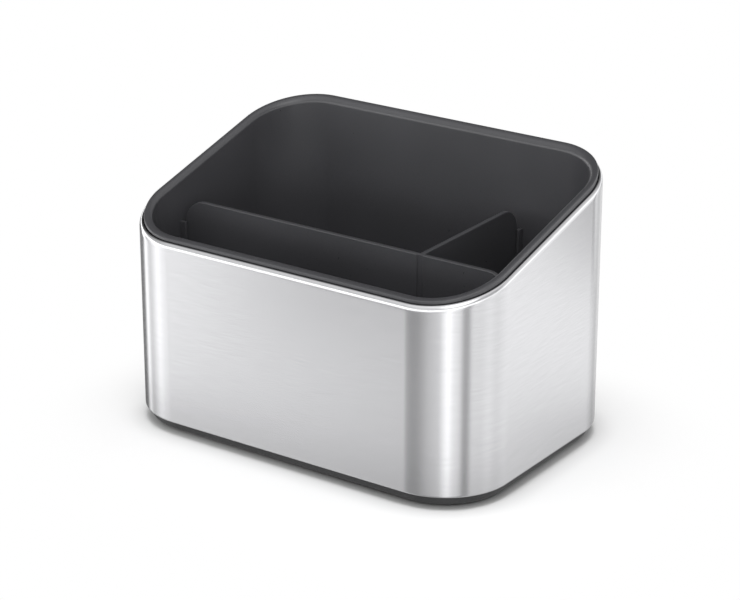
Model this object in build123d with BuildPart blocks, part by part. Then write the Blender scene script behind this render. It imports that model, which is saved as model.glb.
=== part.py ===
from build123d import *
from math import atan2, cos, degrees, pi, sin, sqrt, tan
import os

os.makedirs("parts", exist_ok=True)

# Kitchen sink caddy, in millimetres: a sleeve of brushed sheet steel on a moulded base with four rubber
# feet, a moulded liner that lifts out of it, and a T-shaped divider that lifts out of the liner.
# X runs along the front, which faces -Y. The origin is under the middle of the caddy, where the feet stand.
# Every shell follows one outline in plan, so a surface is given by its inset, the distance that the outline
# is drawn in from the steel's outer face. Heights on the mouth are given as a rise above the steel lip.

# Outline of the whole caddy, over the steel
width = 175.0
depth = 118.9
corner_radius = 29.3

# Sleeve: heights from its lower edge up to the lip, on the front and back faces
front_height = 78.85
back_height = 111.1
sheet = 0.6
lip_radius = 1.4
lip_land = 0.15
hem_radius = 1.2
flange_width = 11.0

# Base: the plinth that shows under the steel, and the drip tray that stands up through the sleeve's flange
plinth_height = 3.7
plinth_inset = 2.8
plinth_edge = 0.8
plinth_ring = 3.2
underside_relief = 1.2
tray_floor = 2.0
tray_wall = 2.0
tray_wall_height = 8.0
tray_gap = 0.4
basin_radius = 1.6

# Snap lugs that hold the base in the sleeve's flange
lug_length = 14.0
lug_bite = 1.0
lug_nose = 0.7
lug_height = 2.4
lug_spacing = 70.0

# Feet
foot_stand = 1.3
foot_radius = 5.8
foot_inset = 10.2
foot_recess = 1.0
foot_play = 0.2
foot_boss = 2.0

# Liner: the inset is that of the wall's inner face at the rim, and the wall tapers in from there to the floor
liner_inset = 5.5
liner_taper = 0.6
liner_wall = 1.6
liner_floor = 2.0
floor_radius = 3.2

# Rim of the liner, which stands a little proud inside the steel lip and is hollow below
rim_gap = 0.35
rim_rise = 2.45
rim_top = 1.8
rim_outer_radius = 0.6
rim_inner_radius = 2.9
skirt = 1.0
skirt_depth = 4.0

# Locating ring under the liner's floor, and the drain slots inside it
ring_play = 0.4
ring_wall = 1.5
ring_depth = 2.0
slot_length = 20.0
slot_width = 4.0
slot_column_pitch = 36.0
slot_row_pitch = 30.0

# Divider: a long panel across the liner, and a cross panel from it to the back wall. Its top is level, and
# the drop is how far that lies below the mouth where the long panel stands.
panel = 2.0
panel_from_front = 40.7
cross_from_right = 48.9
divider_drop = 6.9
end_play = 1.4
end_radius = 10.0
toe_play = 1.0
top_edge = 0.4
groove_width = 2.8
groove_depth = 0.6

# Guide ribs on the liner's walls, one on each side of a panel's end, their drop measured from its top
guide_drop = 9.8
guide_reach = 3.1
guide_thickness = 1.4
guide_play = 0.3

# How many flat facets make a rounded edge, and how far a cut runs past what it cuts
mouth_facets = 3
floor_facets = 2
overrun = 5.0

# The mouth slopes up to the back
mouth_slope = atan2(back_height - front_height, depth)
sheet_rise = sheet / cos(mouth_slope)

# Places in plan
panel_y = panel_from_front - depth / 2
cross_x = width / 2 - cross_from_right
foot_diagonal = (corner_radius - foot_inset) / sqrt(2)
foot_x = width / 2 - corner_radius + foot_diagonal
foot_y = depth / 2 - corner_radius + foot_diagonal

# Levels
sleeve_bottom = foot_stand + plinth_height
flange_top = sleeve_bottom + sheet
basin_floor = foot_stand + underside_relief + tray_floor
tray_top = sleeve_bottom + tray_wall_height
floor_top = tray_top + liner_floor
mouth_middle = sleeve_bottom + (front_height + back_height) / 2
divider_top = mouth_middle + panel_y * tan(mouth_slope) - divider_drop
guide_top = divider_top - guide_drop
highest = sleeve_bottom + back_height + rim_rise + overrun

# Insets
lip_inset = lip_radius + lip_land
rim_inset = lip_inset + rim_gap
tray_inset = flange_width + tray_gap
basin_inset = tray_inset + tray_wall
ring_inset = basin_inset + ring_play
ring_inside = ring_inset + ring_wall

# As many drain slots as fit inside the ring
slot_columns = 1 + int((width - 2 * ring_inside - slot_length) / slot_column_pitch)
slot_rows = 1 + int((depth - 2 * ring_inside - slot_width) / slot_row_pitch)


def level(height):
    """A level plane."""
    return Plane.XY.offset(height)


def mouth(rise):
    """The sloping plane of the mouth, at a rise above the steel lip."""
    return Plane.XY.offset(mouth_middle + rise).rotated((degrees(mouth_slope), 0, 0))


def outline(inset):
    """The caddy's outline in plan, drawn in by an inset."""
    return RectangleRounded(width - 2 * inset, depth - 2 * inset, corner_radius - inset)


def section(inset, plane):
    """The face where a column of the caddy's outline meets a level or sloping plane."""
    with BuildPart() as column:
        with BuildSketch():
            outline(inset)
        extrude(amount=highest + overrun)
        split(bisect_by=plane, keep=Keep.BOTTOM)
    return column.faces().sort_by(Axis((0, 0, 0), plane.z_dir))[-1]


def through(*places):
    """A solid through the outline at each inset and plane, straight from one to the next."""
    faces = [section(inset, plane) for inset, plane in places]
    with BuildPart() as solid:
        loft(faces, ruled=True)
    return solid.part


def quarter_turn(facets):
    """The angles at the ends of each facet of a rounded edge."""
    return [pi / 2 * facet / facets for facet in range(facets + 1)]


def rounded_under(inset, height, radius):
    """Places of a lower edge, from its flat underside round to its wall."""
    angles = quarter_turn(floor_facets)
    return [(inset + radius * (1 - sin(a)), level(height + radius * (1 - cos(a)))) for a in angles]


def rounded_over(inset, rise, radius):
    """Places of an outer edge of the mouth, from its wall round to its flat top."""
    angles = quarter_turn(mouth_facets)
    return [(inset + radius * (1 - cos(a)), mouth(rise - radius * (1 - sin(a)))) for a in angles]


def flared_out(inset, rise, radius):
    """Places of an inner edge of the mouth, from its wall round to its flat top."""
    angles = quarter_turn(mouth_facets)
    return [(inset - radius * (1 - cos(a)), mouth(rise - radius * (1 - sin(a)))) for a in angles]


def tapered(inset, bottom, radius):
    """Places of the liner's tapered wall with its rounded lower edge, the inset given at the rim."""
    return rounded_under(inset + liner_taper, bottom, radius) + [(inset, mouth(rim_rise - rim_inner_radius))]


# Outer sleeve: sheet of one thickness, its lip rolled in round the mouth and its hem turned under as a flange
with BuildPart() as outer_sleeve:
    add(through(*rounded_under(0, sleeve_bottom, hem_radius), *rounded_over(0, 0, lip_radius)))
    inside = rounded_under(sheet, flange_top, hem_radius - sheet)
    inside += rounded_over(sheet, -sheet_rise, lip_radius - sheet)
    add(through(*inside), mode=Mode.SUBTRACT)
    add(through((lip_inset, mouth(-overrun)), (lip_inset, mouth(overrun))), mode=Mode.SUBTRACT)
    with BuildSketch(level(sleeve_bottom)):
        outline(flange_width)
    extrude(amount=overrun, mode=Mode.SUBTRACT)
outer_sleeve.part.label = "outer_sleeve"
export_step(outer_sleeve.part, "parts/outer_sleeve.step")

# One snap lug: flat below, where it bears on the flange, and ramped above, so that it snaps in
with BuildPart() as snap_lug:
    with BuildSketch(Plane.XZ):
        with BuildLine():
            Polyline(
                (-tray_wall / 2, 0),
                (tray_gap + lug_bite, 0),
                (tray_gap + lug_bite, lug_nose),
                (0, lug_height),
                (-tray_wall / 2, lug_height),
                close=True,
            )
        make_face()
    extrude(amount=lug_length / 2, both=True)

tray_half_width = width / 2 - tray_inset
tray_half_depth = depth / 2 - tray_inset
lug_places = [
    Location((tray_half_width, 0, flange_top), (0, 0, 0)),
    Location((-tray_half_width, 0, flange_top), (0, 0, 180)),
]
for side in (-1, 1):
    lug_places += [
        Location((side * lug_spacing / 2, tray_half_depth, flange_top), (0, 0, 90)),
        Location((side * lug_spacing / 2, -tray_half_depth, flange_top), (0, 0, -90)),
    ]

# Base: plinth and drip tray in one moulding, relieved below but for its edge and the bosses of the feet
with BuildPart() as base:
    add(through(*rounded_under(plinth_inset, foot_stand, plinth_edge), (plinth_inset, level(sleeve_bottom))))
    with BuildSketch(level(sleeve_bottom)):
        outline(tray_inset)
    extrude(amount=tray_wall_height)
    basin = rounded_under(basin_inset, basin_floor, basin_radius) + [(basin_inset, level(tray_top + overrun))]
    add(through(*basin), mode=Mode.SUBTRACT)
    with BuildSketch(level(foot_stand)):
        outline(plinth_inset + plinth_ring)
        with GridLocations(2 * foot_x, 2 * foot_y, 2, 2):
            Circle(foot_radius + foot_boss, mode=Mode.SUBTRACT)
    extrude(amount=underside_relief, mode=Mode.SUBTRACT)
    with BuildSketch(level(foot_stand)):
        with GridLocations(2 * foot_x, 2 * foot_y, 2, 2):
            Circle(foot_radius + foot_play)
    extrude(amount=foot_recess, mode=Mode.SUBTRACT)
    with Locations(*lug_places):
        add(snap_lug.part)
base.part.label = "base"
export_step(base.part, "parts/base.step")

# Feet: four rubber pads, each bedded in its recess and standing out below the plinth
foot_corners = {
    "foot_front_left": (-foot_x, -foot_y),
    "foot_front_right": (foot_x, -foot_y),
    "foot_back_left": (-foot_x, foot_y),
    "foot_back_right": (foot_x, foot_y),
}
for foot_name, foot_corner in foot_corners.items():
    with BuildPart() as foot:
        with BuildSketch():
            with Locations(foot_corner):
                Circle(foot_radius)
        extrude(amount=foot_stand + foot_recess)
    foot.part.label = foot_name
    export_step(foot.part, f"parts/{foot_name}.step")

# Guide ribs: bars right across the liner, cut back to the stubs that stand out of its walls
guide_spacing = panel + 2 * guide_play + guide_thickness
with BuildPart() as guide_ribs:
    with BuildSketch(level(floor_top)):
        with Locations((0, panel_y)):
            with GridLocations(0, guide_spacing, 1, 2):
                Rectangle(width, guide_thickness)
        with Locations((cross_x, panel_y)):
            with GridLocations(guide_spacing, 0, 2, 1):
                Rectangle(guide_thickness, depth, align=(Align.CENTER, Align.MIN))
    extrude(amount=guide_top - floor_top)
    add(through(*tapered(liner_inset + guide_reach, floor_top, floor_radius)), mode=Mode.SUBTRACT)
    add(through(*tapered(liner_inset - liner_wall / 2, tray_top, floor_radius)), mode=Mode.INTERSECT)

# Liner: a tapered tub that stands on the tray, with a hollow rim along the sloping mouth
with BuildPart() as liner:
    rim = [(rim_inset, mouth(-skirt_depth))] + rounded_over(rim_inset, rim_rise, rim_outer_radius)
    add(through(*rim))
    hollow_inset = rim_inset + skirt
    hollow = [(hollow_inset, mouth(-skirt_depth - overrun)), (hollow_inset, mouth(rim_rise - rim_top))]
    add(through(*hollow), mode=Mode.SUBTRACT)
    tub = tapered(liner_inset - liner_wall, tray_top, floor_radius + liner_wall)
    add(through(*tub, (liner_inset - liner_wall, mouth(rim_rise - rim_top / 2))))
    cavity = rounded_under(liner_inset + liner_taper, floor_top, floor_radius)
    cavity += flared_out(liner_inset, rim_rise, rim_inner_radius)
    cavity += [(liner_inset - rim_inner_radius, mouth(rim_rise + overrun))]
    add(through(*cavity), mode=Mode.SUBTRACT)
    add(guide_ribs.part)
    with BuildSketch(level(tray_top)):
        outline(ring_inset)
        offset(amount=-ring_wall, mode=Mode.SUBTRACT)
    extrude(amount=-ring_depth)
    with BuildSketch(level(tray_top)):
        with GridLocations(slot_column_pitch, slot_row_pitch, slot_columns, slot_rows):
            SlotOverall(slot_length, slot_width)
    extrude(amount=liner_floor, mode=Mode.SUBTRACT)
liner.part.label = "liner"
export_step(liner.part, "parts/liner.step")

# Divider: a T in plan, grooved in front where its panels meet so that the moulding stays of one thickness.
# Each free end is rounded above, and has a toe below that clears the liner's rounded floor edge.
end_inset = liner_inset + liner_taper + end_play
toe_radius = floor_radius + toe_play


def free_ends(face):
    """The edges of a T-shaped face at its three free ends."""
    edges = face.edges()
    return [edges.sort_by(Axis.X)[0], edges.sort_by(Axis.X)[-1], edges.sort_by(Axis.Y)[-1]]


with BuildPart() as divider:
    with BuildSketch(level(floor_top)):
        with Locations((0, panel_y)):
            Rectangle(width - 2 * end_inset, panel)
        with Locations((cross_x, panel_y)):
            Rectangle(panel, depth / 2 - end_inset - panel_y, align=(Align.CENTER, Align.MIN))
        with Locations((cross_x, panel_y - panel / 2)):
            Rectangle(groove_width, 2 * groove_depth, mode=Mode.SUBTRACT)
    extrude(amount=divider_top - floor_top)
    fillet(free_ends(divider.faces().sort_by(Axis.Z)[-1]), end_radius)
    fillet(free_ends(divider.faces().sort_by(Axis.Z)[0]), toe_radius)
    long_edges = divider.faces().sort_by(Axis.Z)[-1].edges().filter_by(lambda edge: edge.length > end_radius)
    chamfer(long_edges, top_edge)
divider.part.label = "divider"
export_step(divider.part, "parts/divider.step")
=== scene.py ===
# %% [markdown]
# # A kitchen sink caddy
# The caddy is a sleeve of brushed sheet steel on a dark moulded base. A dark liner drops into it, and a T-shaped
# divider drops into the liner. The solid model already fixes the sizes, so this lesson only dresses it: each piece is
# drawn again with finer rounded edges, and gets the finish of the real thing. The caddy's sizes are written in
# millimetres, as on a maker's drawing, and turned into Blender's metres where they reach a mesh.
# The first cell loads the solid model as a frame that stays put.

# %% Load the solid model
from math import atan2, cos, degrees, pi, radians, sin

import bmesh
import bpy
from mathutils import Matrix, Vector


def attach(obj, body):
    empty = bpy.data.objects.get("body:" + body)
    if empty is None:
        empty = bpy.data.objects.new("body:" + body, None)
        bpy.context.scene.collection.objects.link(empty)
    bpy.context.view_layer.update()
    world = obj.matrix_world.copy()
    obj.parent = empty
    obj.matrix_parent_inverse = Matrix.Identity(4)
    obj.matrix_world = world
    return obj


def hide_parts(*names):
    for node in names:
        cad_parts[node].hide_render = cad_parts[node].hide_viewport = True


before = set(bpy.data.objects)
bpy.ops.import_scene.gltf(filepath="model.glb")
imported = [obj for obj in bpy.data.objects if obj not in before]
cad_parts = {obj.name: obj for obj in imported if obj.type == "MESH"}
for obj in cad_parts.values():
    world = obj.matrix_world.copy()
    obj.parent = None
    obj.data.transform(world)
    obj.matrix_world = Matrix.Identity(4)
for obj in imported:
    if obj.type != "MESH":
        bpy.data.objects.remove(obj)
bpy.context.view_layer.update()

MM = 0.001


# %% [markdown]
# ## Camera
# The camera was fitted to the straight edges of the photograph: it looks down on the front right corner from about
# a metre away, with a long lens. Its numbers could be found by eye, but a few known edges pin them down far better.

# %% Stand the camera where the photographer stood
camera_data = bpy.data.cameras.new("camera")
camera_data.lens = 121.09
camera_data.sensor_width = 36
camera_data.clip_start = 0.05
camera = bpy.data.objects.new("camera", camera_data)
bpy.context.scene.collection.objects.link(camera)
camera.location = (0.55091, -0.78497, 0.42838)
camera.rotation_euler = (radians(68.669), 0, radians(35.02))
bpy.context.scene.camera = camera
print("camera", round(camera.location.length, 3), "m from the middle of the caddy's underside")

# %% [markdown]
# ## Studio light
# Brushed metal shows its surroundings, so the light is a studio painted on the world, by the direction a ray looks
# in. Lamps and cards could stand round the caddy instead, but a painted studio has soft edges everywhere and is quick
# to change. A world is a graph of nodes, which could be wired by hand; short calls are easier to read and to mend.
# This cell makes the helpers that add a node and fill its sockets, and starts the world's graph with them.

# %% Start the world's graph
def add_node(tree, kind, **settings):
    """Add a node; settings are its own properties."""
    node = tree.nodes.new(kind)
    for name, value in settings.items():
        setattr(node, name, value)
    return node


def fill(tree, socket, value):
    """Set a socket to a value, or link it where the value is a socket too."""
    if isinstance(value, bpy.types.NodeSocket):
        tree.links.new(value, socket)
    else:
        socket.default_value = value


def feed(tree, node, *values, **inputs):
    """Fill a node's sockets: values in their order, inputs by name, with _ for a space."""
    for socket, value in zip(node.inputs, values):
        fill(tree, socket, value)
    for name, value in inputs.items():
        fill(tree, node.inputs[name.replace("_", " ")], value)
    return node


world = bpy.data.worlds.new("studio")
bpy.context.scene.world = world
world.use_nodes = True
studio = world.node_tree
studio.nodes.clear()
outlook = add_node(studio, "ShaderNodeTexCoord").outputs["Generated"]
split = feed(studio, add_node(studio, "ShaderNodeSeparateXYZ"), outlook).outputs
print("the studio's graph starts with", len(studio.nodes), "nodes")

# %% [markdown]
# The camera looks down, so the upright walls of steel mirror what lies below the horizon. Broad soft panels stand
# there, with darker gaps between them, and make the steel's bright and dark stripes. They could be modelled as glowing
# cards, but one ramp over the compass bearing does the same, and its stops can be moved until the stripes match.

# %% Paint the panels below the horizon
# Each stop is a bearing in degrees, anticlockwise from +X, and how bright the panels are there
PANEL_STOPS = [
    (0, 1.22), (13, 1.40), (28, 1.22), (46, 1.38), (58, 1.46), (72, 1.20), (85, 0.75), (100, 1.10), (118, 0.40),
    (167, 0.20), (174, 2.40), (179, 2.00), (186, 0.85), (196, 1.28), (210, 2.00), (222, 1.50), (229, 1.50), (233, 1.20),
    (236, 1.00), (240, 0.58), (248, 0.46), (260, 0.50), (276, 0.84), (294, 1.06), (301, 1.65), (308, 2.05), (315, 1.50),
    (326, 1.22), (331, 0.55), (338, 0.50), (344, 1.22), (360, 1.22),
]


def maths(tree, operation, *values):
    """The result of a Math node."""
    return feed(tree, add_node(tree, "ShaderNodeMath", operation=operation), *values).outputs[0]


def grey_ramp(tree, value, stops, interpolation="EASE"):
    """A ramp over a value from 0 to 1, its stops given as place and grey level."""
    ramp = add_node(tree, "ShaderNodeValToRGB")
    ramp.color_ramp.interpolation = interpolation
    elements = ramp.color_ramp.elements
    while len(elements) > 1:
        elements.remove(elements[-1])
    for index, (place, grey) in enumerate(stops):
        element = elements[0] if index == 0 else elements.new(place)
        element.position = place
        element.color = (grey, grey, grey, 1)
    return feed(tree, ramp, value).outputs["Color"]


def by_bearing(stops):
    """Stops by bearing as the places of a ramp that goes once round."""
    return [(bearing / 360, grey) for bearing, grey in stops]


turn = maths(studio, "DIVIDE", maths(studio, "ARCTAN2", split["Y"], split["X"]), 2 * pi)
turn = maths(studio, "FRACT", turn)
panels = grey_ramp(studio, turn, by_bearing(PANEL_STOPS), "LINEAR")
print("panels of", len(PANEL_STOPS), "stops, the brightest of", max(grey for bearing, grey in PANEL_STOPS))

# %% [markdown]
# The sky above is an even grey with a few round soft lights in it, like the soft boxes of a studio. They light the
# liner and make the highlights along its rim. A light of negative strength is a soft dark place: the rim's sloping
# top mirrors it, and so keeps its depth.

# %% Hang the soft lights in the sky
SKY_LEVEL = 0.64
# Each light: bearing, elevation, how far out it is full and how far out it has faded, all in degrees, and strength
SOFT_LIGHTS = [(312, 46, 5, 26, 2.0), (262, 42, 10, 50, 0.35), (290, 84, 10, 60, 0.50), (42, 20, 4, 26, 0.55)]
DARK_PLACE = (137, 38, 16, 46, -0.60)


def toward(bearing, elevation):
    """The unit vector of a bearing and an elevation in degrees."""
    bearing, elevation = radians(bearing), radians(elevation)
    return Vector((cos(elevation) * cos(bearing), cos(elevation) * sin(bearing), sin(elevation)))


def vector_maths(tree, operation, *values):
    """The result of a Vector Math node: a number for a dot product or a length, otherwise a vector."""
    node = feed(tree, add_node(tree, "ShaderNodeVectorMath", operation=operation), *values)
    return node.outputs["Value" if operation in ("DOT_PRODUCT", "LENGTH") else "Vector"]


def soft_step(tree, value, low, high, top=1.0):
    """Go softly from 0 to top as a value goes from low to high."""
    node = add_node(tree, "ShaderNodeMapRange", interpolation_type="SMOOTHSTEP")
    return feed(tree, node, value, From_Min=low, From_Max=high, To_Max=top).outputs["Result"]


def glow(tree, direction, bearing, elevation, full, faded, strength):
    """A round patch of the sky: its strength inside the full angle, falling to nothing at the faded one."""
    facing = vector_maths(tree, "DOT_PRODUCT", direction, toward(bearing, elevation))
    return soft_step(tree, facing, cos(radians(faded)), cos(radians(full)), strength)


sky = SKY_LEVEL
for soft_light in SOFT_LIGHTS + [DARK_PLACE]:
    sky = maths(studio, "ADD", sky, glow(studio, outlook, *soft_light))
print(len(SOFT_LIGHTS), "soft lights and a dark place")

# %% [markdown]
# The steel's rolled lip and the liner's rim turn from upright to level within a few millimetres, so they mirror the
# horizon as a fine line. A narrow strip of light there sets how bright that line is on each side of the caddy. It is
# painted like the panels, and fades out below and above.

# %% Run a strip of light round the horizon
STRIP_STOPS = [
    (0, 1.2), (60, 1.2), (100, 1.2), (113, 0.1), (130, 0.2), (142, 2.2), (222, 2.4), (238, 2.9), (262, 2.2), (340, 2.2),
    (360, 1.2),
]
# The elevations in degrees between which the strip's lower and its upper edge fade, from dark to full
STRIP_EDGES = ((-3, 3), (17, 10))

strip = grey_ramp(studio, turn, by_bearing(STRIP_STOPS))
for dark, full in STRIP_EDGES:
    strip = maths(studio, "MULTIPLY", strip, soft_step(studio, split["Z"], sin(radians(dark)), sin(radians(full))))
sky = maths(studio, "ADD", sky, strip)
print("a strip of", len(STRIP_STOPS), "stops")

# %% [markdown]
# Now the panels give way to the sky round the horizon. The camera itself should see plain white there. It could be
# had from a white backdrop, but a Light Path node does it alone: it tells the camera's own rays from those that light
# the caddy or mirror in it, and for them the world is white, at a strength of 1.

# %% Join the panels and the sky
# The elevations in degrees between which the sky takes over from the panels
HORIZON = (-4, 6)


def mix_colours(tree, factor, first, second, blend_type="MIX"):
    """A Mix node over two colours, which are its sockets 6 and 7."""
    node = add_node(tree, "ShaderNodeMix", data_type="RGBA", blend_type=blend_type)
    for index, value in ((0, factor), (6, first), (7, second)):
        fill(tree, node.inputs[index], value)
    return node.outputs[2]


def mix_shaders(tree, factor, first, second):
    """A mix of two shaders."""
    return feed(tree, add_node(tree, "ShaderNodeMixShader"), factor, first, second).outputs[0]


above = soft_step(studio, split["Z"], *(sin(radians(elevation)) for elevation in HORIZON))
both = mix_colours(studio, above, panels, sky)
light = feed(studio, add_node(studio, "ShaderNodeBackground"), Color=both, Strength=1.0).outputs[0]
white = feed(studio, add_node(studio, "ShaderNodeBackground"), Color=(1, 1, 1, 1), Strength=1.0).outputs[0]
ray = add_node(studio, "ShaderNodeLightPath").outputs
seen = mix_shaders(studio, ray["Is Camera Ray"], light, white)
feed(studio, add_node(studio, "ShaderNodeOutputWorld"), Surface=seen)
print("studio of", len(studio.nodes), "nodes")

# %% [markdown]
# ## Floor
# The caddy stands on a sheet of pale paper. A sheet that curves up at the back could be modelled, but a flat one that
# fades into the white does the same from every side. All its shades depend on where a place lies beside the caddy,
# so this cell lays the sheet and measures how far outside the caddy's plan a place is. The plan is a rectangle with
# rounded corners, so that is the distance from the rectangle through the corners' centres, less their radius.

# %% Lay the sheet of paper
WIDTH, DEPTH, CORNER = 175.0, 118.9, 29.3
HALF_SHEET = 4.0

floor_mesh = bpy.data.meshes.new("floor")
floor_mesh.from_pydata([(x * HALF_SHEET, y * HALF_SHEET, 0) for x, y in ((-1, -1), (1, -1), (1, 1), (-1, 1))],
                       [], [(0, 1, 2, 3)])
floor = bpy.data.objects.new("floor", floor_mesh)
bpy.context.scene.collection.objects.link(floor)
paper = bpy.data.materials.new("pale_floor")
paper.use_nodes = True
sheet = paper.node_tree
sheet.nodes.clear()
place = add_node(sheet, "ShaderNodeTexCoord").outputs["Object"]
corner_centre = ((WIDTH / 2 - CORNER) * MM, (DEPTH / 2 - CORNER) * MM, 0)
past_centre = vector_maths(sheet, "SUBTRACT", vector_maths(sheet, "ABSOLUTE", place), corner_centre)
past_centre = vector_maths(sheet, "MAXIMUM", past_centre, (0, 0, 0))
outside_plan = maths(sheet, "SUBTRACT", vector_maths(sheet, "LENGTH", past_centre), CORNER * MM)
print("sheet of", 2 * HALF_SHEET, "m by", 2 * HALF_SHEET, "m")

# %% [markdown]
# Light from all sides leaves only a soft dark line where the caddy meets the paper. A lamp could throw it, but it
# would throw a hard shadow further out as well. Ambient occlusion gives the line alone: it finds how much of the view
# upwards is blocked nearby, and a ramp makes a shade of that. In the photograph the line is dark on one side, so on
# the other side it goes back to the plain shade of the paper.

# %% Darken the paper under the caddy's edge
PAPER = 0.96
# How near, in metres, the caddy has to be to darken the paper, and the shade by the share that it leaves open
CONTACT_REACH = 0.014
CONTACT_STOPS = [(0.0, 0.25), (0.46, 0.355), (0.585, 0.84), (1.0, PAPER)]
# The bearing of the side where the line is dark, in degrees
SHADOW_SIDE = 305
# How far to the shadow side of the caddy's middle, in metres, the line begins to fade and has faded, and how much
FADING, FADED, FADED_SHARE = -0.004, -0.022, 0.85

open_above = feed(sheet, add_node(sheet, "ShaderNodeAmbientOcclusion"), Color=(1, 1, 1, 1), Distance=CONTACT_REACH)
shade = grey_ramp(sheet, open_above.outputs["AO"], CONTACT_STOPS)
to_shadow_side = vector_maths(sheet, "DOT_PRODUCT", place, toward(SHADOW_SIDE, 0))
behind = soft_step(sheet, to_shadow_side, FADING, FADED, FADED_SHARE)
shade = mix_colours(sheet, behind, shade, (PAPER, PAPER, PAPER, 1))
matt = feed(sheet, add_node(sheet, "ShaderNodeBsdfDiffuse"), Color=shade).outputs[0]
print("contact shadow within", round(CONTACT_REACH / MM), "mm")

# %% [markdown]
# A little way out the camera should see the paper fade into pure white, as in the photograph. More light would do
# that to the caddy too, so the paper turns into a plain white glow instead, for the camera's rays alone. On the
# shadow side the fade begins a little further out.

# %% Fade the paper to white
# How far outside the caddy's plan, in metres, the fade begins and ends, and how much it leans to the shadow side
FADE_START, FADE_END, FADE_LEAN = -0.016, 0.056, 0.15

leaning = maths(sheet, "MULTIPLY_ADD", to_shadow_side, -FADE_LEAN, outside_plan)
ray = add_node(sheet, "ShaderNodeLightPath").outputs
fade = maths(sheet, "MULTIPLY", soft_step(sheet, leaning, FADE_START, FADE_END), ray["Is Camera Ray"])
plain = feed(sheet, add_node(sheet, "ShaderNodeEmission"), Color=(1, 1, 1, 1), Strength=1.0).outputs[0]
seen = mix_shaders(sheet, fade, matt, plain)
print("the paper is plain white from about", round(FADE_END / MM), "mm out")

# %% [markdown]
# To the steel's mirror rays the paper reaches only a little way out, as a small table does in a studio: it is clear
# to them, with a grey tint of painted shade that fades with the distance, and through it they see the painted panels.
# The tint stands for the paper's shaded edge near the caddy, which the steel's walls mirror towards their foot. Two
# soft dark cards lie further out, each in one sector of the floor, and give single walls a darker part without touching
# the others. Cards could be modelled too, but then the camera would have to be kept from seeing them.

# %% Let the steel look through the paper
# How far out the painted shade reaches, in metres, and the share of light that it lets through on the way there
MIRRORED_SHADE_REACH = 0.1
MIRRORED_SHADE_STOPS = [(0.0, 0.60), (0.15, 0.68), (0.55, 0.91), (1.0, 1.0)]
# Each dark card: its heading from the caddy in degrees; where it starts along that heading, its near and its far side
# to the left of it, and how soft its edges are, all in metres; and the share of light that it lets through
DARK_CARDS = [(233.5, 0.212, 0.020, 1.0, 0.045, 0.60), (59.0, 0.285, -0.080, 0.0, 0.035, 0.45)]
FAR_SIDE_SOFT = 0.008


def span(tree, value, low, high, from_low=0.0, from_high=1.0):
    """Map a value from one range to another."""
    node = add_node(tree, "ShaderNodeMapRange")
    feed(tree, node, value, From_Min=from_low, From_Max=from_high, To_Min=low, To_Max=high)
    return node.outputs["Result"]


def dark_card(tree, place, heading, start, near_side, far_side, soft, through):
    """The share of light that a place lets through, with a soft-edged card there."""
    inside = 1.0
    for turned, edge, blur in ((0, start, soft), (90, near_side, soft), (-90, -far_side, FAR_SIDE_SOFT)):
        along = vector_maths(tree, "DOT_PRODUCT", place, toward(heading + turned, 0))
        inside = maths(tree, "MULTIPLY", inside, soft_step(tree, along, edge - blur, edge + blur))
    return span(tree, inside, 1.0, through)


# Painted shade: near the caddy the steel's mirror rays are darkened, standing in for the shaded paper there
mirrored_shade = grey_ramp(sheet, span(sheet, outside_plan, 0.0, 1.0, 0.0, MIRRORED_SHADE_REACH), MIRRORED_SHADE_STOPS)
for card in DARK_CARDS:
    mirrored_shade = mix_colours(sheet, 1.0, mirrored_shade, dark_card(sheet, place, *card), "MULTIPLY")
clear = feed(sheet, add_node(sheet, "ShaderNodeBsdfTransparent"), Color=mirrored_shade).outputs[0]
laid = mix_shaders(sheet, ray["Is Glossy Ray"], seen, clear)
feed(sheet, add_node(sheet, "ShaderNodeOutputMaterial"), Surface=laid)
floor_mesh.materials.append(paper)
print("paper of", len(sheet.nodes), "nodes, with", len(DARK_CARDS), "dark cards")

# %% [markdown]
# ## The shells
# Every shell of the caddy follows one outline in plan, drawn in more or less. So a shell is a stack of rings, each
# the outline at some inset and height, joined by quads. The corners of all rings have the same number of points,
# so the quads run true round each bend. The same stack could be had from curves with a bevel, but not the slope.
# A plane gives a ring's height at each y: it is level, or it slopes up to the back with the mouth.

# %% The caddy's outline and its sloping mouth
SLEEVE_BOTTOM, FRONT_LIP, BACK_LIP = 5.0, 83.85, 116.1
MID_LIP = (FRONT_LIP + BACK_LIP) / 2
SLOPE = (BACK_LIP - FRONT_LIP) / DEPTH
CORNER_STEPS = 28


def outline(inset):
    """Plan points of the outline drawn in by an inset, anticlockwise from the front right corner, in mm."""
    points = []
    for corner, (side_x, side_y) in enumerate(((1, -1), (1, 1), (-1, 1), (-1, -1))):
        for step in range(CORNER_STEPS + 1):
            bearing = radians(270 + 90 * (corner + step / CORNER_STEPS))
            points.append((side_x * (WIDTH / 2 - CORNER) + (CORNER - inset) * cos(bearing),
                           side_y * (DEPTH / 2 - CORNER) + (CORNER - inset) * sin(bearing)))
    return points


def level(z):
    """A level plane: the same height everywhere."""
    return lambda y: z


def mouth(rise):
    """The mouth's sloping plane, at a rise above the steel lip."""
    return lambda y: MID_LIP + SLOPE * y + rise


def ring(inset, plane):
    """One ring of a shell, as points in metres."""
    return [Vector((x, y, plane(y))) * MM for x, y in outline(inset)]


print("outline of", len(outline(0)), "points, mouth at", round(degrees(atan2(SLOPE, 1)), 2), "degrees")

# %% [markdown]
# Rounded edges are quarter circles in the shell's section, or quarter ovals where an edge is taller than wide. A
# Bevel modifier could round them, but it gives both faces the same radius and struggles with thin sheet. Each helper
# here lists the insets and planes of the rings that make one, so a whole section reads as a list from end to end.

# %% Rounded edges as rings
def quarter(steps):
    """The angles of a quarter circle."""
    return [pi / 2 * step / steps for step in range(steps + 1)]


def over(inset, rise, radius, steps=7, plane=mouth, drop=None):
    """Round an outer edge of the mouth, from its wall to its flat top; a drop makes the round taller than wide."""
    drop = drop or radius
    return [(inset + radius * (1 - cos(a)), plane(rise - drop * (1 - sin(a)))) for a in quarter(steps)]


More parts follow.
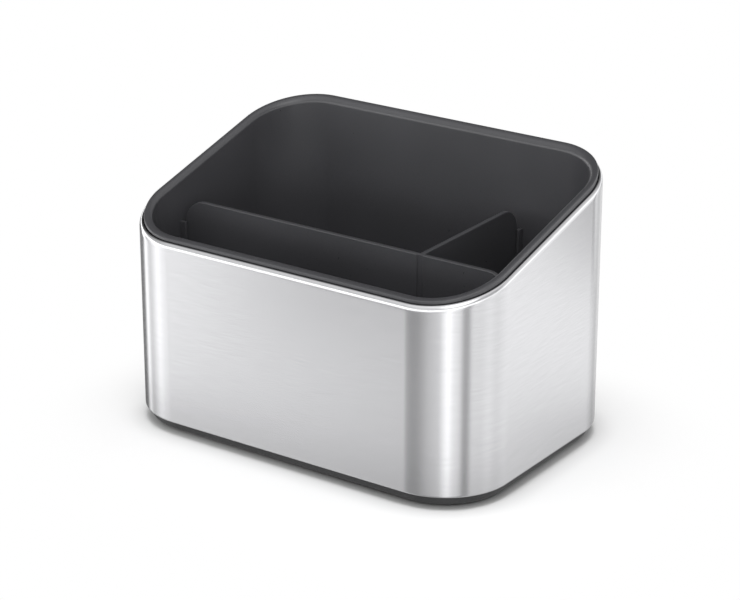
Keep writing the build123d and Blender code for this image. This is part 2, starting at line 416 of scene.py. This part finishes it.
def under(inset, z, radius, steps=6):
    """Round a lower edge, from its flat underside to its wall."""
    return [(inset + radius * (1 - sin(a)), level(z + radius * (1 - cos(a)))) for a in quarter(steps)]


print("a rounded lip has", len(over(0, 0, 1.4)), "rings")

# %% [markdown]
# A piece's mesh is built from its points and faces at once, which is quicker than moving vertices about. All its
# faces are made to look outwards, and they are shaded smooth but for sharp edges.

# %% Make a solid piece
SHARP_ANGLE = radians(38)


def soften(mesh):
    """Shade a mesh smooth but for its sharp edges."""
    mesh.shade_smooth()
    mesh.set_sharp_from_angle(angle=SHARP_ANGLE)


def new_piece(name, mesh):
    """Link a mesh as an object of its own."""
    piece = bpy.data.objects.new(name, mesh)
    bpy.context.scene.collection.objects.link(piece)
    soften(mesh)
    return piece


def solid(name, points, faces):
    """A piece from points in metres and faces, all of which are made to look outwards."""
    mesh = bpy.data.meshes.new(name)
    mesh.from_pydata(points, [], faces)
    bm = bmesh.new()
    bm.from_mesh(mesh)
    bmesh.ops.recalc_face_normals(bm, faces=bm.faces)
    bm.to_mesh(mesh)
    bm.free()
    return new_piece(name, mesh)


print("edges sharper than", round(degrees(SHARP_ANGLE)), "degrees stay sharp")

# %% [markdown]
# Between two rings that follow each other goes a band of quads. The last ring of a bent sheet joins its first one,
# and the first and last rings of a tub each get a lid. A Weighted Normal modifier then lets the large flat faces
# rule the shading, so that they stay flat beside a rounded edge.

# %% Join rings into a shell
FLAT_FACE_WEIGHT = 80


def band(low_start, high_start, count):
    """The quads between two loops of points, each given by where it starts."""
    return [(low_start + i, low_start + (i + 1) % count, high_start + (i + 1) % count, high_start + i)
            for i in range(count)]


def shell(name, section, closed=True):
    """A shell through the rings of its section: the last ring joins the first if closed, else both get a lid."""
    rings = [ring(inset, plane) for inset, plane in section]
    count = len(rings[0])
    starts = [index * count for index in range(len(rings))]
    faces = []
    for here, there in zip(starts, starts[1:] + starts[:1] if closed else starts[1:]):
        faces += band(here, there, count)
    if not closed:
        faces += [tuple(range(count))[::-1], tuple(range(starts[-1], starts[-1] + count))]
    return solid(name, [point for one in rings for point in one], faces)


def even_shading(piece):
    """Let the large flat faces rule the shading of a finished piece."""
    weighted = piece.modifiers.new("even_shading", "WEIGHTED_NORMAL")
    weighted.keep_sharp = True
    weighted.weight = FLAT_FACE_WEIGHT
    return piece


print("two rings make a band of", len(outline(0)), "quads")

# %% [markdown]
# ## Steel sleeve
# On the real caddy a strip of sheet steel is bent round and welded at the back, its top edge rolled inwards to make
# a safe, bright lip, and its lower edge turned under to carry the base. A solid block with a steel look would do from
# outside, but the liner lifts out and shows the inside. The section below walks once round the sheet: along the
# flange, up the outside, over the lip, and back down the inside.

# %% Bend the sleeve
SHEET = 0.6
# How far in and how far down the lip's round goes, and the inset at which the sheet ends
LIP_RADIUS, LIP_DROP, LIP_INSET = 1.4, 2.5, 1.55
# The radius at the lower edge, and how far in the flange reaches
HEM_RADIUS, FLANGE = 1.2, 11.0

outside = [(FLANGE, level(SLEEVE_BOTTOM))] + under(0, SLEEVE_BOTTOM, HEM_RADIUS)
outside += over(0, 0, LIP_RADIUS, steps=12, drop=LIP_DROP)
sheet_edge = [(LIP_INSET, mouth(0)), (LIP_INSET, mouth(-SHEET))]
inside = over(SHEET, -SHEET, LIP_RADIUS - SHEET, drop=LIP_DROP - SHEET)[::-1]
inside += under(SHEET, SLEEVE_BOTTOM + SHEET, HEM_RADIUS - SHEET)[::-1]
inside += [(FLANGE, level(SLEEVE_BOTTOM + SHEET))]
sleeve = even_shading(shell("steel_sleeve", outside + sheet_edge + inside))
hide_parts("outer_sleeve")
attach(sleeve, "housing")
print("sleeve of", len(sleeve.data.polygons), "faces")

# %% [markdown]
# ## Liner
# The liner is one injection moulding. Its wall tapers in towards the floor so that it leaves the mould, and its rim
# is a rolled bead that stands a little proud inside the steel lip, hollow below so that it cools evenly. It could be
# a box with a Solidify modifier, but that gives one thickness and no skirt. Its section is again walked round: up the
# bowl, over the rim, down its face, where an undercut at the steel makes a dark line round the lip, down and up the
# skirt, and down the outside of the tub. Along the front the rim stands less proud than elsewhere.

# %% Mould the liner's tub and rim
TRAY_TOP, FLOOR_TOP = 13.0, 15.0
# The bowl's inset at the mouth, how much further in it is at the floor, and the wall and the round above the floor
LINER_INSET, TAPER, WALL, FLOOR_RADIUS = 5.5, 0.6, 1.6, 3.2
# The rim's face, top and underside; and how far in from the face the skirt's inside lies, and how deep it hangs
RIM_INSET, RIM_RISE, RIM_UNDER, SKIRT, SKIRT_DEPTH = 1.9, 2.45, 0.65, 1.0, 4.0
RIM_OUTER_RADIUS, RIM_INNER_RADIUS = 0.5, 2.4
# Where the rim's face ends above the steel, its small chamfer, and the undercut behind it
FACE_END, CHAMFER, CHAMFER_END, UNDERCUT, UNDERCUT_TOP = 0.3, 0.08, 0.2, 0.7, 0.15
# The share by which the rim dips along the front, and how far in front of the middle the dip starts and is full
FRONT_DIP, DIP_START, DIP_FULL = 0.42, 30.0, DEPTH / 2 - 3.0


def rim(rise):
    """The mouth's plane at a rise that shrinks softly along the front."""
    def height(y):
        share = min(max((-y - DIP_START) / (DIP_FULL - DIP_START), 0), 1)
        return mouth(rise * (1 - FRONT_DIP * share * share * (3 - 2 * share)))(y)
    return height


def flared(inset, rise, radius, steps=9):
    """Round the rim's inner edge, from the bowl's wall to the rim's flat top."""
    return [(inset - radius * (1 - cos(a)), rim(rise - radius * (1 - sin(a)))) for a in quarter(steps)]


bowl = under(LINER_INSET + TAPER, FLOOR_TOP, FLOOR_RADIUS, 8) + flared(LINER_INSET, RIM_RISE, RIM_INNER_RADIUS)
bead = over(RIM_INSET, RIM_RISE, RIM_OUTER_RADIUS, 6, rim)[::-1]
face = [(RIM_INSET, mouth(FACE_END)), (RIM_INSET + CHAMFER, mouth(CHAMFER_END)),
        (RIM_INSET + UNDERCUT, mouth(UNDERCUT_TOP))]
skirt = [(RIM_INSET + UNDERCUT, mouth(-SKIRT_DEPTH)), (RIM_INSET + SKIRT, mouth(-SKIRT_DEPTH)),
         (RIM_INSET + SKIRT, mouth(RIM_UNDER))]
tub = [(LINER_INSET - WALL, mouth(RIM_UNDER)), (LINER_INSET - WALL, mouth(RIM_RISE - RIM_INNER_RADIUS))]
tub += under(LINER_INSET - WALL + TAPER, TRAY_TOP, FLOOR_RADIUS + WALL)[::-1]
liner = shell("liner_tub", bowl + bead + face + skirt + tub, closed=False)
print("liner of", len(liner.data.polygons), "faces before its slots")

# %% [markdown]
# Water leaves the liner through slots in its floor and falls into the drip tray below. Slots could be drawn into the
# floor's faces one by one, but cutting them from the finished tub with a second solid is far less work. Blender's
# Boolean modifier does this exactly. The result is kept as a plain mesh, and the cutter is thrown away.

# %% Cut the slots
SLOT_LENGTH, SLOT_WIDTH = 20.0, 4.0
SLOT_XS, SLOT_YS = (-54, -18, 18, 54), (-30, 0, 30)
# How far a cutter reaches past what it cuts, so that no face of one lies on a face of the other
PAST = 1.0


def carve(piece, cutter, operation="DIFFERENCE"):
    """Cut a piece with another object, or join them, and use that object up."""
    cut = piece.modifiers.new("cut", "BOOLEAN")
    cut.operation = operation
    cut.solver = "EXACT"
    cut.object = cutter
    bpy.context.view_layer.update()
    piece_cut = piece.evaluated_get(bpy.context.evaluated_depsgraph_get())
    result = bpy.data.meshes.new_from_object(piece_cut)
    piece.modifiers.remove(cut)
    piece.data = result
    soften(result)
    bpy.data.objects.remove(cutter)


def prism(name, plans, low, high):
    """A solid with upright sides over one or more closed plans, all in mm."""
    points, faces = [], []
    for plan in plans:
        start, count = len(points), len(plan)
        points += [Vector((x, y, z)) * MM for z in (low, high) for x, y in plan]
        faces += band(start, start + count, count)
        faces += [tuple(range(start, start + count))[::-1], tuple(range(start + count, start + 2 * count))]
    return solid(name, points, faces)


def slot_plan(x, y, length, width, steps=10):
    """A slot in plan, with round ends, along X."""
    plan = []
    for side, start in ((1, -90), (-1, 90)):
        for step in range(steps + 1):
            bearing = radians(start + 180 * step / steps)
            plan.append((x + side * (length - width) / 2 + width / 2 * cos(bearing), y + width / 2 * sin(bearing)))
    return plan


slots = [slot_plan(x, y, SLOT_LENGTH, SLOT_WIDTH) for x in SLOT_XS for y in SLOT_YS]
carve(liner, prism("slot_cutter", slots, TRAY_TOP - PAST, FLOOR_TOP + PAST))
print("liner with", len(slots), "slots:", len(liner.data.polygons), "faces")

# %% [markdown]
# A ring under the floor keeps the liner centred on the tray. It is a shell like the others, and the Boolean modifier
# joins it to the tub. It is sunk a little into the floor, because two faces that only touch might not join.

# %% Add the locating ring
RING_OUTSIDE, RING_INSIDE, RING_BOTTOM = 13.8, 15.3, 11.0
SUNK = 0.5

locating_ring = shell("locating_ring", [(RING_OUTSIDE, level(RING_BOTTOM)), (RING_OUTSIDE, level(TRAY_TOP + SUNK)),
                                        (RING_INSIDE, level(TRAY_TOP + SUNK)), (RING_INSIDE, level(RING_BOTTOM))])
carve(liner, locating_ring, "UNION")
print("liner with its ring:", len(liner.data.polygons), "faces")

# %% [markdown]
# Thin ribs on the liner's walls hold the ends of the divider upright. A plain bar would stand off the tapered wall
# or cut into it, so a rib's eight corners are measured from the wall at their own height: its root lies inside the
# wall and its nose keeps one reach from it. Its nose and its top are bevelled, as a mould would leave them.

# %% Shape a guide rib
RIB, RIB_TOP, RIB_REACH = 1.4, 78.19, 3.1
RIB_ROOT, RIB_EDGE = 1.0, 0.3


def wall_inset(y, z):
    """The inset of the liner's inner wall at a height, on a side whose mouth is at y."""
    low, high = FLOOR_TOP + FLOOR_RADIUS, mouth(RIM_RISE - RIM_INNER_RADIUS)(y)
    return LINER_INSET + TAPER * (1 - (z - low) / (high - low))


def rib(centre, side=0):
    """A guide rib: on a side wall at y = centre for side 1 or -1, or on the back wall at x = centre."""
    bm = bmesh.new()
    corners = {}
    for high, z in enumerate((FLOOR_TOP - SUNK, RIB_TOP)):
        for nose, depth in enumerate((-RIB_ROOT, RIB_REACH)):
            for far, across in enumerate((-RIB / 2, RIB / 2)):
                inset = wall_inset(centre if side else DEPTH / 2, z) + depth
                spot = ((side * (WIDTH / 2 - inset), centre + across, z) if side
                        else (centre + across, DEPTH / 2 - inset, z))
                corners[high, nose, far] = bm.verts.new(Vector(spot) * MM)
    for axis in range(3):
        for end in (0, 1):
            quad = [(*pair[:axis], end, *pair[axis:]) for pair in ((0, 0), (0, 1), (1, 1), (1, 0))]
            bm.faces.new([corners[key] for key in quad])
    bmesh.ops.recalc_face_normals(bm, faces=bm.faces)
    top = {corner for (high, nose, far), corner in corners.items() if high}
    front = {corner for (high, nose, far), corner in corners.items() if nose}
    edges = [edge for edge in bm.edges if top.issuperset(edge.verts) or front.issuperset(edge.verts)]
    bmesh.ops.bevel(bm, geom=edges, offset=RIB_EDGE * MM, segments=3, profile=0.5, affect="EDGES")
    mesh = bpy.data.meshes.new("guide_rib")
    bm.to_mesh(mesh)
    bm.free()
    return new_piece("guide_rib", mesh)


print("a rib is", RIB, "mm thick and stands", RIB_REACH, "mm out from its wall")

# %% [markdown]
# Each free end of the divider stands between two ribs, with a little play on both sides. Six ribs could be placed
# one by one, but here each pair is placed from the middle of its panel, so it follows when a panel moves.

# %% Join the ribs to the liner
PANEL_Y, CROSS_X, PANEL = -18.75, 38.6, 2.0
RIB_PLAY = 0.3

rib_offset = PANEL / 2 + RIB_PLAY + RIB / 2
ribs = [rib(PANEL_Y + across, side) for side in (-1, 1) for across in (-rib_offset, rib_offset)]
ribs += [rib(CROSS_X + across) for across in (-rib_offset, rib_offset)]
for one in ribs:
    carve(liner, one, "UNION")
even_shading(liner)
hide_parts("liner")
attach(liner, "liner_body")
print("liner of", len(liner.data.polygons), "faces,", len(slots), "slots,", len(ribs), "guide ribs")

# %% [markdown]
# ## Divider
# The divider is a T of two thin panels. Its three free ends are alike: a large rounded corner at the top, and a
# smaller toe where the liner's floor curves up into its wall. A Bevel modifier could round both, but with one radius
# only. So an end is drawn as a path of two quarter circles, and used three times.

# %% Shape the free ends
DIVIDER_TOP, END_RADIUS, TOE_RADIUS, END_INSET = 87.99, 10.0, 4.2, 7.5


def end_path(reach):
    """Down a free end, from where its rounded corner starts to where its toe meets the floor: reach and height."""
    path = [(END_RADIUS * (1 - sin(a)), DIVIDER_TOP - END_RADIUS * (1 - cos(a))) for a in quarter(14)]
    path += [(TOE_RADIUS * (1 - sin(a)), FLOOR_TOP + TOE_RADIUS * (1 - cos(a))) for a in quarter(8)[::-1]]
    return [(reach - END_INSET - back, z) for back, z in path]


print("a free end of", len(end_path(0)), "points, from z =", end_path(0)[0][1], "down to", end_path(0)[-1][1], "mm")

# %% [markdown]
# In front of the joint of the two panels runs a groove, so that the plastic there is no thicker than elsewhere and
# leaves no dent. Two boxes pushed together would do for the T, but their joint would show as a line. So the divider
# is drawn as one closed mesh, face by face. Faces that meet share their points: each point is made once and looked
# up after that.

# %% Draw the divider with sharp edges
GROOVE_WIDTH, GROOVE_DEPTH = 2.8, 0.6


def divider_mesh():
    """The T as a closed mesh of flat faces and its rounded ends."""
    bm = bmesh.new()
    known = {}

    def vert(*place):
        key = tuple(round(value, 4) for value in place)
        if key not in known:
            known[key] = bm.verts.new(Vector(key) * MM)
        return known[key]

    def add_face(points):
        bm.faces.new([vert(*point) for point in points])

    front, rear = PANEL_Y - PANEL / 2, PANEL_Y + PANEL / 2
    bed = front + GROOVE_DEPTH
    groove = (CROSS_X - GROOVE_WIDTH / 2, CROSS_X + GROOVE_WIDTH / 2)
    cross = (CROSS_X - PANEL / 2, CROSS_X + PANEL / 2)
    top, low = DIVIDER_TOP, FLOOR_TOP
    right = end_path(WIDTH / 2)
    left = [(-x, z) for x, z in right]
    back = end_path(DEPTH / 2)
    # The long panel's front and rear faces, then the cross panel's two sides
    for y, joints in ((front, groove), (rear, cross)):
        for joint, path in zip(joints, (left, right)):
            add_face([(joint, y, top)] + [(x, y, z) for x, z in path] + [(joint, y, low)])
    for x in cross:
        add_face([(x, rear, top)] + [(x, y, z) for y, z in back] + [(x, rear, low)])
    # The three free ends
    for path in (left, right):
        for (x1, z1), (x2, z2) in zip(path, path[1:]):
            add_face([(x1, front, z1), (x2, front, z2), (x2, rear, z2), (x1, rear, z1)])
    for (y1, z1), (y2, z2) in zip(back, back[1:]):
        add_face([(cross[0], y1, z1), (cross[0], y2, z2), (cross[1], y2, z2), (cross[1], y1, z1)])
    # The groove's two walls and its bed, then the top and the underside, which share one plan
    groove_path = [(groove[0], front), (groove[0], bed), (groove[1], bed), (groove[1], front)]
    for (x1, y1), (x2, y2) in zip(groove_path, groove_path[1:]):
        add_face([(x1, y1, top), (x2, y2, top), (x2, y2, low), (x1, y1, low)])
    for z, end in ((top, 0), (low, -1)):
        (left_x, _), (right_x, _), (back_y, _) = left[end], right[end], back[end]
        plan = [(left_x, front)] + groove_path + [(right_x, front), (right_x, rear), (cross[1], rear),
                                                  (cross[1], back_y), (cross[0], back_y), (cross[0], rear),
                                                  (left_x, rear)]
        add_face([(x, y, z) for x, y in plan])
    bmesh.ops.recalc_face_normals(bm, faces=bm.faces)
    mesh = bpy.data.meshes.new("divider_t")
    bm.to_mesh(mesh)
    print("divider", "closed" if all(edge.is_manifold for edge in bm.edges) else "open", "with", len(bm.faces), "faces")
    bm.free()
    return mesh


divider = new_piece("divider_t", divider_mesh())

# %% [markdown]
# No moulded edge is quite sharp. The divider's edges could be rounded in its drawing, but a Bevel modifier rounds
# them all alike, also in the inner corners, where the real mould has a small fillet. Their radius is half the
# groove's depth, because a wider round wouldn't fit on the groove's walls.

# %% Round its edges and seat it
edges = divider.modifiers.new("moulded_edges", "BEVEL")
edges.width = GROOVE_DEPTH / 2 * MM
edges.segments = 4
edges.limit_method = "ANGLE"
edges.angle_limit = radians(40)
edges.use_clamp_overlap = True
even_shading(divider)
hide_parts("divider")
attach(divider, "divider_body")
print("divider edges rounded to", round(edges.width / MM, 2), "mm")

# %% [markdown]
# ## Base and feet
# The base is a second moulding: a plinth that shows as a dark band under the steel, and a shallow tray on top that
# catches the drips. Below, all but the edge and the four bosses is cut away to save plastic, and each boss has a
# recess for a rubber pad. Like the liner, it is a shell of rings, and the cuts are made with prisms. The cutter for
# the underside has the bosses cut out of it first, so that they stay.

# %% Mould the base
PLINTH_INSET, PLINTH_BOTTOM, PLINTH_RADIUS = 2.8, 1.3, 0.8
TRAY_INSET, TRAY_WALL, BASIN_FLOOR, BASIN_RADIUS = 11.4, 2.0, 4.5, 1.6
# The tray's edge is broken a little: how far each of its points lies in from the wall and below the top
TRAY_EDGE = [(0.0, 0.4), (0.1, 0.12), (0.4, 0.0)]
RELIEF_INSET, RELIEF_TOP, BOSS_RADIUS = 6.0, 2.5, 7.8
RECESS_RADIUS, RECESS_TOP = 6.0, 2.3
FOOT_X, FOOT_Y = 71.706, 43.656


def round_plan(x, y, radius, steps=40):
    """A circle in plan."""
    return [(x + radius * cos(2 * pi * i / steps), y + radius * sin(2 * pi * i / steps)) for i in range(steps)]


def foot_plans(radius):
    """A circle in plan at each foot."""
    return [round_plan(x, y, radius) for x in (-FOOT_X, FOOT_X) for y in (-FOOT_Y, FOOT_Y)]


plinth = under(PLINTH_INSET, PLINTH_BOTTOM, PLINTH_RADIUS)
shoulder = [(PLINTH_INSET, level(SLEEVE_BOTTOM)), (TRAY_INSET, level(SLEEVE_BOTTOM))]
tray = [(TRAY_INSET + back, level(TRAY_TOP - down)) for back, down in TRAY_EDGE]
tray += [(TRAY_INSET + TRAY_WALL - back, level(TRAY_TOP - down)) for back, down in TRAY_EDGE[::-1]]
basin = under(TRAY_INSET + TRAY_WALL, BASIN_FLOOR, BASIN_RADIUS)[::-1]
base = shell("base_tray", plinth + shoulder + tray + basin, closed=False)
below = PLINTH_BOTTOM - PAST
relief = prism("relief_cutter", [outline(RELIEF_INSET)], below, RELIEF_TOP)
carve(relief, prism("boss_cutter", foot_plans(BOSS_RADIUS), below - PAST, RELIEF_TOP + PAST))
carve(base, relief)
carve(base, prism("recess_cutter", foot_plans(RECESS_RADIUS), below, RECESS_TOP))
print("base of", len(base.data.polygons), "faces")

# %% [markdown]
# Six snap lugs on the tray's wall hook over the sleeve's flange and hold the two together. A lug is a wedge: flat
# below, where it grips, and sloping above, where the flange slides over it as the base is pressed in. Six wedges
# could be modelled in place, but one section, turned to face outwards on each side, serves for all.

# %% Add the snap lugs
LUG_SECTION = [(-1.0, 5.62), (1.4, 5.62), (1.4, 6.3), (0.0, 8.0), (-1.0, 8.0)]
LUG_LENGTH, LUG_X = 14.0, 35.0


def snap_lug(x, y, turn):
    """A wedge on the tray's wall, pointing outwards along its own X."""
    facing = Matrix.Rotation(radians(turn), 4, "Z")
    points = [(facing @ Vector((out, across, z)) + Vector((x, y, 0))) * MM
              for across in (-LUG_LENGTH / 2, LUG_LENGTH / 2) for out, z in LUG_SECTION]
    count = len(LUG_SECTION)
    faces = [tuple(range(count)), tuple(range(count, 2 * count))[::-1]] + band(0, count, count)
    return solid("snap_lug", points, faces)


wall_x, wall_y = WIDTH / 2 - TRAY_INSET, DEPTH / 2 - TRAY_INSET
lugs = [snap_lug(wall_x, 0, 0), snap_lug(-wall_x, 0, 180)]
lugs += [snap_lug(x, side * wall_y, 90 * side) for x in (-LUG_X, LUG_X) for side in (-1, 1)]
for lug in lugs:
    carve(base, lug, "UNION")
even_shading(base)
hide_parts("base")
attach(base, "housing")
print("base with", len(lugs), "lugs:", len(base.data.polygons), "faces")

# %% [markdown]
# A rubber pad is a turned shape, so it is a section spun round its own axis. A cylinder with a Bevel modifier would
# come close, but this section also has a face that is very slightly dished where it meets the worktop. Its lower
# edge is rounded, as such pads are punched or moulded.

# %% Turn the rubber feet
# Radius and height, from the middle of the underside, out and up, to the middle of the top
FOOT_SECTION = [(0.0, 0.12), (3.8, 0.04), (4.6, 0.0), (5.2, 0.02), (5.5, 0.12), (5.7, 0.32), (5.8, 0.6), (5.8, 2.2),
                (5.7, 2.3), (0.0, 2.3)]


def turned(name, section, x, y, steps=48):
    """A solid turned about an upright axis at x, y, from points of radius and height that start and end on it."""
    loops = section[1:-1]
    points = [Vector((px, py, z)) * MM for radius, z in loops for px, py in round_plan(x, y, radius, steps)]
    starts = [index * steps for index in range(len(loops))]
    faces = []
    for here, there in zip(starts, starts[1:]):
        faces += band(here, there, steps)
    for start, (_, z) in ((starts[0], section[0]), (starts[-1], section[-1])):
        middle = len(points)
        points.append(Vector((x, y, z)) * MM)
        faces += [(start + i, start + (i + 1) % steps, middle) for i in range(steps)]
    return solid(name, points, faces)


feet = []
for end, y in (("front", -FOOT_Y), ("back", FOOT_Y)):
    for side, x in (("left", -FOOT_X), ("right", FOOT_X)):
        foot = turned(f"pad_{end}_{side}", FOOT_SECTION, x, y)
        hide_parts(f"foot_{end}_{side}")
        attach(foot, "housing")
        feet.append(foot)
print(len(feet), "feet of", len(foot.data.polygons), "faces each")

# %% [markdown]
# ## Brushed steel
# The sleeve is brushed along its length, so its grain runs level round the wall. An image of brushed metal would do
# in one view, but noise has no seam where the wall bends. Noise that is stretched level and packed tight upright
# makes the streaks, in two sizes: fine ones as from the brush, and broad ones that still show from further off.

# %% Streak the steel
# Each noise: how it is scaled along X, Y and Z, its frequency per metre, its detail and its roughness
FINE_STREAKS = ((0.016, 0.016, 1.0), 6500, 2.0, 0.7)
BROAD_STREAKS = ((0.034, 0.034, 1.0), 2000, 3.0, 0.7)
FINE_WEIGHT, BROAD_WEIGHT = 0.4, 0.6


def new_material(name):
    """A material with its tree emptied, and a Principled shader wired to its output."""
    material = bpy.data.materials.new(name)
    material.use_nodes = True
    tree = material.node_tree
    tree.nodes.clear()
    shader = add_node(tree, "ShaderNodeBsdfPrincipled")
    feed(tree, add_node(tree, "ShaderNodeOutputMaterial"), Surface=shader.outputs[0])
    return material, tree, shader


def noise(tree, place, stretch, scale, detail, roughness):
    """Noise over a place in metres, its frequency scaled along each axis."""
    mapped = feed(tree, add_node(tree, "ShaderNodeMapping"), Vector=place, Scale=stretch).outputs[0]
    texture = add_node(tree, "ShaderNodeTexNoise")
    return feed(tree, texture, Vector=mapped, Scale=scale, Detail=detail, Roughness=roughness).outputs["Fac"]


steel, tree, shader = new_material("brushed_steel")
place = add_node(tree, "ShaderNodeTexCoord").outputs["Object"]
streaks = maths(tree, "ADD", span(tree, noise(tree, place, *FINE_STREAKS), -FINE_WEIGHT, FINE_WEIGHT),
                span(tree, noise(tree, place, *BROAD_STREAKS), -BROAD_WEIGHT, BROAD_WEIGHT))
print("streaks of", len(tree.nodes), "nodes")

# %% [markdown]
# Real steel is a little darker and rougher in some streaks than in others. So the streaks set its tone, with a trace
# of blue as cold light gives it, and its roughness, which a slow cloud of noise stirs too. One roughness all over
# would look like foil. The lip is polished by the rolling, so its roughness falls near the mouth: the height of a
# place over the sloping mouth tells where that is.

# %% Give the steel its tone and roughness
# Most streaks lie between these two, and tone and roughness go from the first of their values to the second there
STREAK_SPAN = (-0.5, 0.5)
STEEL_TONE, STEEL_ROUGHNESS = (0.525, 0.605), (0.25, 0.22)
COLD_BLUE = 1.022
STEEL_CLOUD, CLOUD_ROUGHNESS = ((1, 1, 1), 22, 2.0, 0.5), 0.015
# How far below the mouth, in mm, the lip's polish starts and is full, and what it leaves of the roughness
POLISH_START, POLISH_FULL, POLISHED = 2.4, 1.4, 0.62

tone = span(tree, streaks, *STEEL_TONE, *STREAK_SPAN)
colour = feed(tree, add_node(tree, "ShaderNodeCombineColor"), tone, tone, maths(tree, "MULTIPLY", tone, COLD_BLUE))
height = vector_maths(tree, "DOT_PRODUCT", place, (0, -SLOPE, 1))
polish = span(tree, height, 0.0, 1.0, (MID_LIP - POLISH_START) * MM, (MID_LIP - POLISH_FULL) * MM)
cloud = span(tree, noise(tree, place, *STEEL_CLOUD), -CLOUD_ROUGHNESS, CLOUD_ROUGHNESS)
roughness = maths(tree, "ADD", span(tree, streaks, *STEEL_ROUGHNESS, *STREAK_SPAN), cloud)
roughness = maths(tree, "MULTIPLY", roughness, span(tree, polish, 1.0, POLISHED))
print("streaks, tone and roughness of", len(tree.nodes), "nodes")

# %% [markdown]
# Two more things make brushed steel: the streaks tilt the surface by a hair, and every highlight is smeared across
# the grain. A bump as fine as the real scratches would flicker at this size. So the bump is weak, and an anisotropic
# highlight does the smearing: its tangent runs level round the upright axis, as the grain does, and a quarter of a
# turn sets the smear across it.

# %% Smear its highlights across the grain
STREAK_BUMP, STREAK_DEPTH = 0.10, 0.02
SMEAR, SMEAR_TURN = 0.9, 0.25


def finish(piece, material):
    """Give a piece one material and no other."""
    piece.data.materials.clear()
    piece.data.materials.append(material)


bump = feed(tree, add_node(tree, "ShaderNodeBump"), Strength=STREAK_BUMP, Distance=STREAK_DEPTH * MM, Height=streaks)
grain = add_node(tree, "ShaderNodeTangent", direction_type="RADIAL", axis="Z")
feed(tree, shader, Base_Color=colour.outputs[0], Metallic=1.0, Roughness=roughness, Normal=bump.outputs[0],
     Anisotropic=SMEAR, Anisotropic_Rotation=SMEAR_TURN, Tangent=grain.outputs[0])
finish(sleeve, steel)
print("steel of", len(tree.nodes), "nodes")

# %% [markdown]
# ## Moulded plastic and rubber
# The liner, the divider and the base are a dark grey plastic with the fine matt grain of a spark-eroded mould, and
# the pads are black rubber. A photograph of such grain would need a UV map that hides its seams. Noise needs none:
# two sizes of it make the grain, and a slow cloud keeps large faces from looking like flat paint.

# %% Mix the plastics and the rubber
# The noises' frequencies per metre: fine and coarse for a grain of 1 mm, and the cloud for any grain
FINE_GRAIN, COARSE_GRAIN, CLOUD = 1000, 250, 18
COARSE_SHARE, GRAIN_BUMP = 0.5, 0.30
# Most of the noise's sum lies between the first two, and the colour is shaded between the other two there
NOISE_SPAN, SHADE_SPAN = (0.6, 1.4), (0.82, 1.18)
COARSE_ROUGHNESS, SLOW_ROUGHNESS = 0.06, 0.03


def moulded(name, colour, roughness, grain, depth):
    """A matt moulded finish: its colour, mean roughness, grain size in mm and grain depth in mm."""
    material, tree, shader = new_material(name)
    place = add_node(tree, "ShaderNodeTexCoord").outputs["Object"]
    fine = noise(tree, place, (1, 1, 1), FINE_GRAIN / grain, detail=2.0, roughness=0.6)
    coarse = noise(tree, place, (1, 1, 1), COARSE_GRAIN / grain, detail=2.0, roughness=0.5)
    cloud = noise(tree, place, (1, 1, 1), CLOUD, detail=2.0, roughness=0.5)
    shade = span(tree, maths(tree, "ADD", fine, cloud), *SHADE_SPAN, *NOISE_SPAN)
    grey = feed(tree, add_node(tree, "ShaderNodeCombineColor"), shade, shade, shade).outputs[0]
    height = maths(tree, "ADD", fine, maths(tree, "MULTIPLY", coarse, COARSE_SHARE))
    bump = feed(tree, add_node(tree, "ShaderNodeBump"), Strength=GRAIN_BUMP, Distance=depth * MM, Height=height)
    coarse_part = span(tree, coarse, roughness - COARSE_ROUGHNESS, roughness + COARSE_ROUGHNESS)
    slow_part = span(tree, cloud, -SLOW_ROUGHNESS, SLOW_ROUGHNESS)
    feed(tree, shader, Base_Color=mix_colours(tree, 1.0, (*colour, 1), grey, "MULTIPLY"), Normal=bump.outputs[0],
         Roughness=maths(tree, "ADD", coarse_part, slow_part))
    return material


liner_plastic = moulded("liner_plastic", (0.052, 0.052, 0.0565), 0.31, 0.35, 0.010)
base_plastic = moulded("base_plastic", (0.020, 0.020, 0.021), 0.50, 0.35, 0.010)
rubber = moulded("foot_rubber", (0.018, 0.018, 0.018), 0.75, 0.25, 0.015)
finish(liner, liner_plastic)
finish(divider, liner_plastic)
finish(base, base_plastic)
for foot in feet:
    finish(foot, rubber)
print("finishes:", ", ".join(material.name for material in (steel, liner_plastic, base_plastic, rubber)))

# %% [markdown]
# ## Finish
# The view transform is Standard, so that colours come out as they are written.

# %% Set the view transform
bpy.context.scene.view_settings.view_transform = "Standard"
